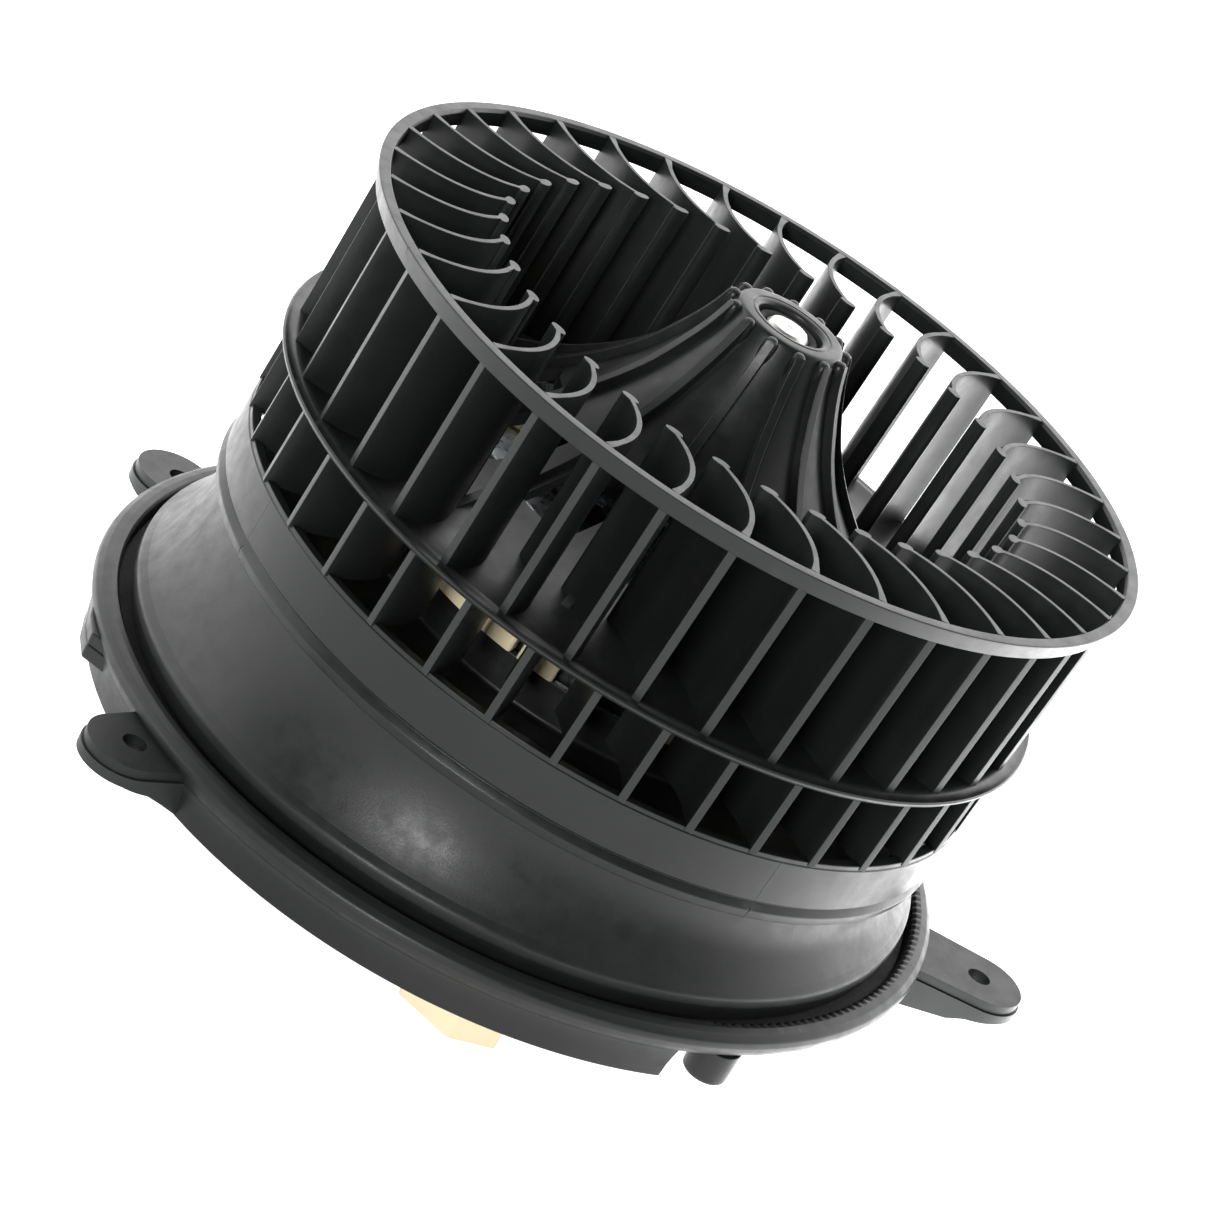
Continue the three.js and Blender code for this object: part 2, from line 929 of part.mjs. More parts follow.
piece("motor_can", motorCan(), zincSteel);
piece("motor_rear_cap", motorRearCap(), zincSteel);
piece("upper_bearing", bearing(upperBearingHeight), bronze);
piece("lower_bearing", bearing(lowerBearingHeight), bronze);
piece("upper_bearing_retainer", bearingRetainer(upperBearingHeight - 4.6), zincSteel);
[90, 270].forEach((azimuth, i) => piece(`magnet_${i + 1}`, magnet(azimuth), ferrite));
[0, 180].forEach((azimuth, i) => piece(`magnet_clip_${i + 1}`, magnetClip(azimuth), zincSteel));
piece("brush_card", brushCard(), creamPlastic);
[0, 180].forEach((azimuth, i) => {
  const turn = radians(azimuth);
  piece(`brush_holder_${i + 1}`, brushHolder().rotateZ(turn), brass);
  piece(`carbon_brush_${i + 1}`, carbonBrush().rotateZ(turn), carbon);
  piece(`brush_spring_${i + 1}`, brushSpring().rotateZ(turn), shaftSteel);
});
[55, 125].forEach((azimuth, i) => piece(`choke_${i + 1}`, choke(azimuth), copper));
piece("thermal_cutout", thermalCutout(), zincSteel);

piece("drum_shell", drumShell(), housingPlastic);
piece("motor_collar", motorCollar(), housingPlastic);
piece("motor_carrier", motorCarrier(), housingPlastic);
piece("terminal_carrier", terminalCarrier(), creamPlastic);
piece("can_damping_ring", canDampingRing(), rubber);
piece("rear_damping_ring", rearDampingRing(), rubber);
screwAzimuths.forEach((azimuth, i) => piece(`cover_screw_${i + 1}`, coverScrew(azimuth), shaftSteel));

piece("flange_ring", flangeRing(), housingPlastic, flange);
piece("isolating_ring", isolatingRing(), rubber, flange);
piece("lower_cover", lowerCover(), housingPlastic, flange);
piece("connector_housing", connectorHousing(), creamPlastic, flange);
bladeSlots.forEach((x, i) => piece(`terminal_blade_${i + 1}`, terminalBlade(x), brass, flange));

const assembly = new THREE.Group();
assembly.add(blower);

export default assembly;
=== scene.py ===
"""Interior blower: a cage wheel on a DC motor in a round housing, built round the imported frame.

Shapes are drawn in millimetres. Blower heights are measured from the wheel's rim plane, and flange
heights from the leaning flange's own plane; BLOWER and FLANGE carry both into the row frame.
"""

import json
import math

import bmesh
import bpy
from mathutils import Matrix, Quaternion, Vector

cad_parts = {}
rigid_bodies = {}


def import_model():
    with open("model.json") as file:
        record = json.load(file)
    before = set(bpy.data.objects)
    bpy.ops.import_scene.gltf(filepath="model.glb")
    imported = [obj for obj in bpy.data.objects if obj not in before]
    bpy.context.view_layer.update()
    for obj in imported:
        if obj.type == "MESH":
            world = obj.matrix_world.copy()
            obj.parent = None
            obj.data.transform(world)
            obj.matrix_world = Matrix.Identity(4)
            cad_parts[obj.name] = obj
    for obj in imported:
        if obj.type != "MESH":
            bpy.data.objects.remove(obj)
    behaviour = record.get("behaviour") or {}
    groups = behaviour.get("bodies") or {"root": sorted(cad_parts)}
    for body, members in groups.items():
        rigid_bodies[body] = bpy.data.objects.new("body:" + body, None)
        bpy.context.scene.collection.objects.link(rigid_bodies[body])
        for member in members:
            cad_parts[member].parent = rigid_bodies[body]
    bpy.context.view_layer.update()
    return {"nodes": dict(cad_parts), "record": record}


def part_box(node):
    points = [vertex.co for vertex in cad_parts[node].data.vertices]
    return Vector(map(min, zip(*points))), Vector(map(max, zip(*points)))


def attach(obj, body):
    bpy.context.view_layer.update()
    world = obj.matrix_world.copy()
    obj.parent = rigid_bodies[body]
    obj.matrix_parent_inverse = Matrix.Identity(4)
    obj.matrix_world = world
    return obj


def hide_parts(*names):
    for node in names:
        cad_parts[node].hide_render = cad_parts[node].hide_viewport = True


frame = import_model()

# ---------------------------------------------------------------- places and driving sizes

MM = 0.001
UP = Vector((0, 0, 1))
RIM_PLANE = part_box("upper_cage")[1].z
BLOWER = Matrix.Translation((0, 0, RIM_PLANE)) @ Matrix.Scale(MM, 4)

FINE = 288  # facets round the large turned pieces
MEDIUM = 96
SMALL = 48
TINY = 32
SHARP_ANGLE = 38  # edges that turn by more degrees than this are drawn sharp

BLADES = 36
BLADE_PITCH = 360 / BLADES
UPPER_BLADE_AZIMUTH = -0.7
LOWER_BLADE_AZIMUTH = -5.0
RIBS = 13
RIB_PITCH = 360 / RIBS
FIRST_RIB_AZIMUTH = 14.8
SEAM_AZIMUTH = -140.7
SECOND_SEAM_AZIMUTH = -50

EAR_TOP = -5.5
PARTING = -7.25  # a thin line parts the flange ring from the lower cover
COVER_TOP = -7.31
GROOVE_FLOOR = -5.9
GROOVE_RADIUS = 75.8
COVER_FLOOR = -11.9
SKIRT_FOOT = -13.9
EARS = [(162.6, 80.7), (-127.8, 83.9), (6.1, 90.8)]  # azimuth and hole radius
EAR_HALF_WIDTH = 7.4
EAR_ROOT = 74.2  # the ears' sides start at this radius, inside the lip
EAR_HOLE = 2.15
SEAT_OUTWARD = 4.5  # the ear seats' points lie this far outside the hole's centre

DRUM_TOP = -57.4
DRUM_WAIST = -63.0
DRUM_RIDGE = -77.4
SCREW_AZIMUTHS = (30, 150, 268)
SCREW_CIRCLE = 56.0
POST_RADIUS = 4.2
POST_BORE = 2.1


def polar(radius, azimuth, height=0.0):
    angle = math.radians(azimuth)
    return Vector((radius * math.cos(angle), radius * math.sin(angle), height))


def flange_matrix():
    """The leaning flange's frame, from the normal and place of the widest-set ear's seat."""
    seat = next(m for m in frame["record"]["mounts"] if m["name"] == "ear_seat_3")
    normal = Vector(seat["axis"]).normalized()
    turn = UP.rotation_difference(normal).to_matrix()
    azimuth, hole_radius = EARS[2]
    in_flange = polar(hole_radius + SEAT_OUTWARD, azimuth, EAR_TOP) * MM
    centre = Vector(seat["pos_m"]) - turn @ in_flange
    return Matrix.Translation(centre) @ turn.to_4x4() @ Matrix.Scale(MM, 4)


FLANGE = flange_matrix()
FLANGE_IN_BLOWER = BLOWER.inverted() @ FLANGE

# ---------------------------------------------------------------- outlines


def smooth(points, steps):
    """A Catmull-Rom curve through the points."""
    ends = [points[0], *points, points[-1]]
    path = []
    for before, start, end, after in zip(ends, ends[1:], ends[2:], ends[3:]):
        for i in range(steps):
            t = i / steps
            path.append(tuple(
                0.5 * (2 * b + (c - a) * t + (2 * a - 5 * b + 4 * c - d) * t * t
                       + (3 * b - a - 3 * c + d) * t ** 3)
                for a, b, c, d in zip(before, start, end, after)
            ))
    path.append(tuple(points[-1]))
    return path


def offset(path, distance):
    """The path moved to its left by a distance."""
    moved = []
    for i, (x, y) in enumerate(path):
        x0, y0 = path[max(i - 1, 0)]
        x1, y1 = path[min(i + 1, len(path) - 1)]
        length = math.hypot(x1 - x0, y1 - y0)
        moved.append((x - (y1 - y0) / length * distance, y + (x1 - x0) / length * distance))
    return moved


def rounded(outline, radius, steps=3):
    """A closed outline with its corners rounded. A third number on a point is its own radius."""
    result = []
    for i, point in enumerate(outline):
        here = Vector(point[:2])
        own = point[2] if len(point) > 2 else radius
        back = Vector(outline[i - 1][:2]) - here
        ahead = Vector(outline[(i + 1) % len(outline)][:2]) - here
        angle = back.angle(ahead)
        if own <= 0 or angle > math.radians(172):
            result.append(tuple(here))
            continue
        cut = min(own / math.tan(angle / 2), 0.46 * back.length, 0.46 * ahead.length)
        start = here + back.normalized() * cut
        end = here + ahead.normalized() * cut
        for k in range(steps + 1):
            t = k / steps
            result.append(tuple(start * (1 - t) ** 2 + here * 2 * t * (1 - t) + end * t * t))
    return result


def disc(radius, sides, centre=(0.0, 0.0)):
    points = [polar(radius, 360 * i / sides) for i in range(sides)]
    return [(p.x + centre[0], p.y + centre[1]) for p in points]


def sector(inner, outer, start, end, steps):
    azimuths = [start + (end - start) * i / steps for i in range(steps + 1)]
    outside = [tuple(polar(outer, a))[:2] for a in azimuths]
    inside = [tuple(polar(inner, a))[:2] for a in reversed(azimuths)]
    return outside + inside


# ---------------------------------------------------------------- mesh building


def turned(bm, outline, sides=FINE, ripple=None):
    """Turns a closed outline of (radius, height) round the axis. ripple may move each point."""
    rings = []
    for i in range(sides):
        azimuth = 360 * i / sides
        points = [polar(r, azimuth, z) for r, z in outline]
        if ripple:
            points = [ripple(p, azimuth) for p in points]
        rings.append([bm.verts.new(p) for p in points])
    for a, b in zip(rings, rings[1:] + rings[:1]):
        for j in range(len(outline)):
            k = (j + 1) % len(outline)
            if outline[j][0] > 0 or outline[k][0] > 0:
                bm.faces.new((a[j], a[k], b[k], b[j]))


def swept(bm, outline, start, end, steps):
    """Turns a closed outline of (radius, height) through part of a turn, and closes both ends."""
    rings = []
    for i in range(steps + 1):
        azimuth = start + (end - start) * i / steps
        rings.append([bm.verts.new(polar(r, azimuth, z)) for r, z in outline])
    for a, b in zip(rings, rings[1:]):
        for j in range(len(outline)):
            k = (j + 1) % len(outline)
            bm.faces.new((a[j], a[k], b[k], b[j]))
    bm.faces.new(reversed(rings[0]))
    bm.faces.new(rings[-1])


def prism(bm, outline, foot, top, turn=0.0, foot_scale=1.0):
    """An upright prism, turned to an azimuth, that may narrow towards its foot."""
    spin = Matrix.Rotation(math.radians(turn), 3, "Z")
    low = [bm.verts.new(spin @ Vector((x * foot_scale, y * foot_scale, foot))) for x, y in outline]
    high = [bm.verts.new(spin @ Vector((x, y, top))) for x, y in outline]
    bm.faces.new(reversed(low))
    bm.faces.new(high)
    for i in range(len(outline)):
        k = (i + 1) % len(outline)
        bm.faces.new((low[i], low[k], high[k], high[i]))


def fin(bm, outline, thickness, azimuth):
    """An outline of (radius, height) made into a plate that stands on an azimuth."""
    spin = Matrix.Rotation(math.radians(azimuth), 3, "Z")
    sides = []
    for y in (-thickness / 2, thickness / 2):
        sides.append([bm.verts.new(spin @ Vector((x, y, z))) for x, z in outline])
    bm.faces.new(sides[0])
    bm.faces.new(reversed(sides[1]))
    for i in range(len(outline)):
        k = (i + 1) % len(outline)
        bm.faces.new((sides[0][k], sides[0][i], sides[1][i], sides[1][k]))


def block(bm, size, centre):
    x, y, z = (s / 2 for s in size)
    outline = [(-x, -y), (x, -y), (x, y), (-x, y)]
    outline = [(a + centre[0], b + centre[1]) for a, b in outline]
    prism(bm, outline, centre[2] - z, centre[2] + z)


def object_from(name, bm, space):
    bmesh.ops.remove_doubles(bm, verts=bm.verts, dist=1e-4)
    bmesh.ops.recalc_face_normals(bm, faces=bm.faces)
    bm.transform(space)
    mesh = bpy.data.meshes.new(name)
    bm.to_mesh(mesh)
    bm.free()
    obj = bpy.data.objects.new(name, mesh)
    bpy.context.scene.collection.objects.link(obj)
    return obj


def bake_modifiers(obj):
    """Turns the object's modifiers into its mesh."""
    graph = bpy.context.evaluated_depsgraph_get()
    mesh = bpy.data.meshes.new_from_object(obj.evaluated_get(graph))
    old = obj.data
    obj.modifiers.clear()
    obj.data = mesh
    bpy.data.meshes.remove(old)


def bevelled(obj, width, segments=2, angle=32):
    modifier = obj.modifiers.new("edges", "BEVEL")
    modifier.width = width * MM
    modifier.segments = segments
    modifier.limit_method = "ANGLE"
    modifier.angle_limit = math.radians(angle)
    bake_modifiers(obj)
    return obj


def combined(obj, tools, operation):
    """Joins or cuts the object with tool objects, and removes the tools."""
    for tool in tools:
        modifier = obj.modifiers.new("combine", "BOOLEAN")
        modifier.object = tool
        modifier.operation = operation
        modifier.solver = "EXACT"
    bpy.context.view_layer.update()
    bake_modifiers(obj)
    for tool in tools:
        bpy.data.objects.remove(tool)
    return obj


def shaped(name, draw, space=BLOWER):
    """An object whose mesh the draw function fills in."""
    bm = bmesh.new()
    draw(bm)
    return object_from(name, bm, space)


def place(obj, body, slot, nodes=(), flat_above=1000.0):
    """Shades a piece, gives it its finish, and lets it ride on its body in place of its CAD nodes.

    Faces larger than flat_above, in square millimetres, are shaded flat.
    """
    mesh = obj.data
    for polygon in mesh.polygons:
        polygon.use_smooth = polygon.area < flat_above * MM * MM
    mesh.set_sharp_from_angle(angle=math.radians(SHARP_ANGLE))
    weighted = obj.modifiers.new("weighted normals", "WEIGHTED_NORMAL")
    weighted.keep_sharp = True
    mesh.materials.clear()
    mesh.materials.append(FINISHES[slot])
    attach(obj, body)
    if nodes:
        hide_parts(*nodes)


# ---------------------------------------------------------------- materials


def node(tree, kind, inputs=(), **settings):
    made = tree.nodes.new(kind)
    for key, value in settings.items():
        setattr(made, key, value)
    for socket, value in dict(inputs).items():
        if isinstance(value, bpy.types.NodeSocket):
            tree.links.new(value, made.inputs[socket])
        else:
            made.inputs[socket].default_value = value
    return made


def ramp(tree, factor, *stops):
    made = node(tree, "ShaderNodeValToRGB", {"Fac": factor})
    elements = made.color_ramp.elements
    while len(elements) < len(stops):
        elements.new(0.5)
    for element, (position, value) in zip(elements, stops):
        element.position = position
        element.color = (value, value, value, 1) if isinstance(value, float) else (*value, 1)
    return made.outputs["Color"]


def mixed(tree, factor, a, b, blend="MIX"):
    made = node(tree, "ShaderNodeMix", data_type="RGBA", blend_type=blend)
    for socket, value in ((0, factor), (6, a), (7, b)):
        if isinstance(value, bpy.types.NodeSocket):
            tree.links.new(value, made.inputs[socket])
        else:
            made.inputs[socket].default_value = value if socket == 0 else (*value, 1)
    return made.outputs[2]


def finish(name, color, tint, roughness, metallic=0.0, spread=0.08, patches=30.0, grain=2600.0,
           grain_depth=0.03, stretch=(1, 1, 1), painted_edge_highlight=None, specular=0.5, subsurface=0.0, spangle=0.0):
    """A finish with patchy colour, uneven gloss, a fine surface grain and a painted highlight that lightens
    its convex edges.
    """
    material = bpy.data.materials.new(name)
    material.use_nodes = True
    tree = material.node_tree
    shader = tree.nodes["Principled BSDF"]
    where = node(tree, "ShaderNodeTexCoord").outputs["Object"]
    drawn = node(tree, "ShaderNodeMapping", {"Vector": where, "Scale": stretch}).outputs["Vector"]

    broad = node(tree, "ShaderNodeTexNoise", {"Vector": where, "Scale": patches, "Detail": 5.0,
                                              "Roughness": 0.6}).outputs["Fac"]
    fine = node(tree, "ShaderNodeTexNoise", {"Vector": drawn, "Scale": grain, "Detail": 3.0,
                                             "Roughness": 0.55}).outputs["Fac"]
    middle = node(tree, "ShaderNodeTexNoise", {"Vector": drawn, "Scale": patches * 9, "Detail": 4.0,
                                               "Roughness": 0.65}).outputs["Fac"]

    base = mixed(tree, ramp(tree, broad, (0.35, 0.0), (0.68, 1.0)), color, tint)
    if spangle:
        cells = node(tree, "ShaderNodeTexVoronoi", {"Vector": where, "Scale": 420.0}).outputs["Color"]
        cell = node(tree, "ShaderNodeSeparateColor", {"Color": cells}).outputs["Red"]
        base = mixed(tree, spangle, base, ramp(tree, cell, (0.0, 0.35), (1.0, 1.0)), "MULTIPLY")
    # Painted highlight: convex edges are painted a lighter colour, as if they caught light.
    if painted_edge_highlight:
        edge = node(tree, "ShaderNodeNewGeometry").outputs["Pointiness"]
        base = mixed(tree, ramp(tree, edge, (0.53, 0.0), (0.62, 1.0)), base, painted_edge_highlight)
    tree.links.new(base, shader.inputs["Base Color"])

    gloss = node(tree, "ShaderNodeMapRange", {"Value": middle, "From Min": 0.3, "From Max": 0.7,
                                              "To Min": roughness - spread, "To Max": roughness + spread})
    tree.links.new(gloss.outputs["Result"], shader.inputs["Roughness"])
    bump = node(tree, "ShaderNodeBump", {"Height": fine, "Strength": 0.6, "Distance": grain_depth * MM})
    tree.links.new(bump.outputs["Normal"], shader.inputs["Normal"])
    shader.inputs["Metallic"].default_value = metallic
    shader.inputs["Specular IOR Level"].default_value = specular
    if subsurface:
        shader.inputs["Subsurface Weight"].default_value = subsurface
        shader.inputs["Subsurface Radius"].default_value = (0.004, 0.003, 0.0015)
    return material


# The lighter grey painted on the black plastics' convex edges, a painted highlight.
EDGE_HIGHLIGHT_GREY = (0.024, 0.0262, 0.0256)
FINISHES = {
    "wheel_plastic": finish("wheel_plastic", (0.009, 0.0102, 0.0096), (0.013, 0.0145, 0.0137), 0.36,
                            grain_depth=0.02, painted_edge_highlight=EDGE_HIGHLIGHT_GREY, specular=0.36),
    "housing_plastic": finish("housing_plastic", (0.010, 0.0113, 0.0106), (0.015, 0.0166, 0.0156), 0.4,
                              grain_depth=0.03, painted_edge_highlight=EDGE_HIGHLIGHT_GREY, specular=0.36),
    "cream_plastic": finish("cream_plastic", (0.84, 0.71, 0.44), (0.88, 0.77, 0.53), 0.45,
                            subsurface=0.15, painted_edge_highlight=(0.9, 0.82, 0.62)),
    "zinc_steel": finish("zinc_steel", (0.55, 0.6, 0.63), (0.72, 0.76, 0.78), 0.28, metallic=1.0,
                         spangle=0.35, grain=1400.0),
    "shaft_steel": finish("shaft_steel", (0.60, 0.59, 0.57), (0.78, 0.77, 0.74), 0.36, metallic=1.0,
                          patches=160.0, grain=1500.0, grain_depth=0.12),
    "laminated_steel": finish("laminated_steel", (0.14, 0.14, 0.15), (0.24, 0.24, 0.25), 0.45,
                              metallic=1.0, stretch=(0.02, 0.02, 1), grain_depth=0.1),
    "copper": finish("copper", (0.2, 0.1, 0.06), (0.32, 0.17, 0.1), 0.35, metallic=1.0,
                     stretch=(1, 1, 0.2), grain=1600.0, grain_depth=0.2),
    "bronze": finish("bronze", (0.3, 0.2, 0.1), (0.4, 0.28, 0.15), 0.5, metallic=1.0,
                     grain=3000.0, grain_depth=0.08),
    "brass": finish("brass", (0.62, 0.45, 0.18), (0.74, 0.56, 0.26), 0.3, metallic=1.0),
    "ferrite": finish("ferrite", (0.03, 0.03, 0.032), (0.05, 0.05, 0.053), 0.7, grain_depth=0.12),
    "carbon": finish("carbon", (0.018, 0.018, 0.019), (0.035, 0.035, 0.037), 0.5, grain_depth=0.08),
    "rubber": finish("rubber", (0.006, 0.006, 0.006), (0.011, 0.011, 0.011), 0.8, grain_depth=0.1),
}

# ---------------------------------------------------------------- fan wheel

SKIN = 2.0  # thickness of the trumpet
RIB_RISE = 1.6
RIB_THICKNESS = 1.7
BEAD_WIDTH = 1.65  # half width of the bead on a blade's inner edge
BEAD_DEPTH = 1.0
TRUMPET = smooth(
    [(10.2, 7.2), (11.8, 2.6), (14.4, -2.8), (18.4, -9.4), (24.6, -16.6), (33, -23.8), (42, -29.4),
     (50, -32.6), (56, -33.9), (61, -34.2), (66, -33.8), (70.2, -32.9)], 5)
RIB_FADE = 32  # from this point of the trumpet's path the ribs sink into it
RIB_END = 38  # and here they run out


def draw_wheel_body(bm):
    lip = [(70.9, -33.1), (71.5, -33.35), (72.2, -33.2), (72.6, -33.15), (72.85, -33.4), (72.8, -33.8),
           (72.3, -34.35), (71.2, -34.7), (70.6, -34.8)]
    under = offset(TRUMPET, -SKIN)[3:]
    shoulder = [(9.3, 8), (9.75, 7.92), (10.0, 7.65)]
    sleeve = [(10.2, -13), (6.0, -13)]
    top = [(6.0, 7.3), (6.3, 7.75), (6.7, 8.0), (7.2, 8.0), (7.35, 7.85), (7.6, 7.85), (7.75, 8.0)]
    turned(bm, [*top, *shoulder, *TRUMPET, *lip, *reversed(under), *sleeve])


def draw_windows(bm):
    """One window between each two ribs, nearer to the rib that it follows."""
    corners = [polar(28, 3.6), polar(41.7, 2.7), polar(42, 7), polar(42, 13), polar(41.7, 17.6),
               polar(35.7, 20.6), polar(28, 21.4), polar(28.2, 12)]
    outline = rounded([tuple(p)[:2] for p in corners], 1.0)
    for i in range(RIBS):
        prism(bm, outline, -42, -9, FIRST_RIB_AZIMUTH + RIB_PITCH * i)


def draw_hub_ribs(bm):
    ridge = offset(TRUMPET, RIB_RISE)
    root = offset(TRUMPET, -0.8)[1:RIB_END + 1]
    tip = [(9.2, 6.4), (9.9, 6.9), (11.2, 7.1)]
    outline = [*tip, *ridge[:RIB_FADE], TRUMPET[RIB_END], *reversed(root)]
    for i in range(RIBS):
        fin(bm, outline, RIB_THICKNESS, FIRST_RIB_AZIMUTH + RIB_PITCH * i)


def draw_rib_knobs(bm):
    """A rounded knob where each rib meets the hub's top."""
    outline = smooth([(0, 8.0), (0.7, 7.8), (1.15, 7.2), (1.3, 6.2), (1.25, 4.4), (0.9, 2.2), (0, 1.6)], 3)
    for i in range(RIBS):
        centre = polar(10.75, FIRST_RIB_AZIMUTH + RIB_PITCH * i)
        knob = bmesh.new()
        turned(knob, outline, 24)
        bmesh.ops.translate(knob, verts=knob.verts, vec=centre)
        copy = bpy.data.meshes.new("knob")
        knob.to_mesh(copy)
        knob.free()
        bm.from_mesh(copy)
        bpy.data.meshes.remove(copy)


def blade_line(t):
    """The blade's middle line seen from above, from the outer end to the inner edge."""
    outer, bend, inner = Vector((71.0, 0)), Vector((57.8, 3.1)), Vector((49.9, -5.6))
    point = outer * (1 - t) ** 2 + bend * 2 * t * (1 - t) + inner * t * t
    along = (bend - outer) * (1 - t) + (inner - bend) * t
    return point, along.normalized()


def blade_sides(reach, thickness, steps=14):
    """Both sides of a blade. It thickens into a strip over its outermost few millimetres."""
    left, right = [], []
    for i in range(steps + 1):
        point, along = blade_line(reach * i / steps)
        strip = max(0.0, 1 - (71.0 - point.length) / 2.6)
        half = thickness / 2 + 0.26 * min(1.0, 1.6 * strip)
        across = Vector((-along.y, along.x)) * half
        left.append(tuple(point + across))
        right.append(tuple(point - across))
    return left, right[::-1]


def draw_upper_blades(bm):
    left, right = blade_sides(0.955, 1.0)
    end, _ = blade_line(1)
    inward = -end.normalized()
    sideways = Vector((-inward.y, inward.x))
    bead = []
    for k in range(13):
        angle = math.radians(138 - 23 * k)
        across = sideways * BEAD_WIDTH * math.sin(angle)
        bead.append(tuple(end + across + inward * BEAD_DEPTH * math.cos(angle)))
    for i in range(BLADES):
        prism(bm, left + bead + right, -34.7, 0, UPPER_BLADE_AZIMUTH + BLADE_PITCH * i, 0.9944)


def draw_lower_blades(bm):
    left, right = blade_sides(0.78, 0.9, 10)
    outline = [(x * 0.995, y * 0.995) for x, y in left + right]
    for i in range(BLADES):
        prism(bm, outline, -49.7, -34.4, LOWER_BLADE_AZIMUTH + BLADE_PITCH * i)


def draw_rim(bm):
    turned(bm, rounded([(71.05, 0), (73.2, 0), (72.0, -3.4), (70.7, -3.4), (70.7, -0.6, 0.1)], 0.28))


def draw_band(bm):
    turned(bm, rounded([
        (68.5, -49), (70.35, -49, 0.2), (70.35, -49.8, 0.1), (70.55, -50, 0.1), (70.55, -58.1),
        (69.95, -58.6, 0.15), (70.35, -59.1, 0.2), (70.9, -60, 0.6), (70.5, -61.7), (68.5, -61.7)], 0.3))


def draw_seams(bm):
    """Cutters for the thin mould seams down the band and the rim."""
    for azimuth, foot, top, radius in ((SEAM_AZIMUTH, -63, -48, 70.7), (SECOND_SEAM_AZIMUTH, -63, -48, 70.7),
                                       (SEAM_AZIMUTH, -36, -32, 72.2), (SEAM_AZIMUTH, -4, 1, 73.0)):
        outline = [(radius - 0.35, 0), (radius + 0.9, -0.22), (radius + 0.9, 0.22)]
        prism(bm, outline, foot, top, azimuth)


def fan_wheel():
    windows = shaped("windows", draw_windows)
    body = combined(shaped("wheel_trumpet", draw_wheel_body), [windows], "DIFFERENCE")
    ribs = bevelled(shaped("wheel_hub_ribs", draw_hub_ribs), 0.55, 3)
    knobs = shaped("wheel_rib_knobs", draw_rib_knobs)
    upper = bevelled(shaped("wheel_upper_blades", draw_upper_blades), 0.16, 2, 40)
    lower = bevelled(shaped("wheel_lower_blades", draw_lower_blades), 0.14, 2, 40)
    rim = combined(shaped("wheel_rim", draw_rim), [shaped("seams", draw_seams)], "DIFFERENCE")
    band = combined(shaped("wheel_band", draw_band), [shaped("seams", draw_seams)], "DIFFERENCE")
    place(body, "rotor", "wheel_plastic", ["wheel_hub"])
    place(upper, "rotor", "wheel_plastic", ["upper_cage"])
    place(lower, "rotor", "wheel_plastic", ["lower_cage"])
    for part in (ribs, knobs, rim, band):
        place(part, "rotor", "wheel_plastic")


# ---------------------------------------------------------------- shaft and hub bush


def draw_shaft(bm):
    outline = [
        (0, -100, 0), (3.2, -100), (4, -99.2), (4, 6.5), (3.3, 7.3), (2.3, 7.4), (0.9, 7.15), (0, 6.3, 0)]
    turned(bm, rounded(outline, 0.12, 2), SMALL)


def draw_bush(bm):
    outline = [(4.3, -12.6), (5.7, -12.6), (5.7, 6.6), (5.3, 6.9), (4.7, 6.6), (4.3, 6.2)]
    turned(bm, rounded(outline, 0.12, 2), MEDIUM)


def shaft_and_bush():
    place(shaped("shaft", draw_shaft), "rotor", "shaft_steel", ["motor_shaft"])
    place(shaped("hub_bush", draw_bush), "rotor", "rubber", ["hub_insert"])


# ---------------------------------------------------------------- motor


def draw_can(bm):
    turned(bm, rounded([
        (36, -82), (40.4, -82), (40.4, -80.4), (38, -80.4, 0.8), (38, -35, 0), (37.2, -33.2, 0),
        (35.4, -32.2, 0), (13.4, -32.2, 1.2), (11.2, -30.2, 0.6), (11.2, -22.8, 1.2), (9.6, -21.2, 0.5),
        (5.2, -21.2), (5.2, -22.8), (9, -23.4), (9, -31.2), (11.6, -34), (34.4, -34), (36, -36)], 0.3), MEDIUM)


def draw_can_vents(bm):
    """Six vents and three screw holes in the can's top."""
    outline = rounded(sector(15, 25.5, -17, 17, 8), 1.2, 2)
    for i in range(6):
        prism(bm, outline, -36, -30, 60 * i)
    for i in range(3):
        prism(bm, disc(1.6, 20, (29, 0)), -36, -30, 120 * i + 30)


def draw_cap(bm):
    turned(bm, rounded([
        (0, -102, 0), (18, -102), (19.2, -100.8, 0.6), (21, -97.6, 0.8), (36.4, -97.6, 1.4),
        (38.4, -95.6, 1.0), (38.4, -82.4), (36.6, -82.4), (36.6, -95), (35.6, -95.8), (10.6, -95.8),
        (9.2, -97), (9.2, -100.4), (0, -100.4, 0)], 0.4), MEDIUM)


def motor():
    can = combined(shaped("motor_can_shell", draw_can), [shaped("vents", draw_can_vents)], "DIFFERENCE")
    place(can, "housing", "zinc_steel", ["motor_can"])
    place(shaped("motor_end_cup", draw_cap), "housing", "zinc_steel", ["motor_rear_cap"])


TAB_AZIMUTHS = [third + azimuth for third in (0, 120, 240) for azimuth in (-118, -106, -95.5, -64)]
TAB_SPREAD = 4.4  # degrees to each side
ARM_AZIMUTHS = (-178, -58, 62)


def draw_carrier(bm):
    turned(bm, rounded([(38.3, -40.4), (45, -40.4), (45, -37.6), (38.3, -37.6)], 0.4), MEDIUM)


def draw_carrier_tabs(bm):
    for azimuth in TAB_AZIMUTHS:
        outline = sector(43.2, 46, azimuth - TAB_SPREAD, azimuth + TAB_SPREAD, 6)
        prism(bm, rounded(outline, 0.5, 2), -49.5, -37.8)


def draw_carrier_arms(bm):
    profile = rounded([(24, -31.8), (24, -30.4), (36.4, -30.4, 1.2), (40, -34.4, 1.2), (40, -39), (38.3, -39),
                       (38.3, -34.8), (35.8, -31.8)], 0.2)
    for azimuth in ARM_AZIMUTHS:
        fin(bm, profile, 11, azimuth)


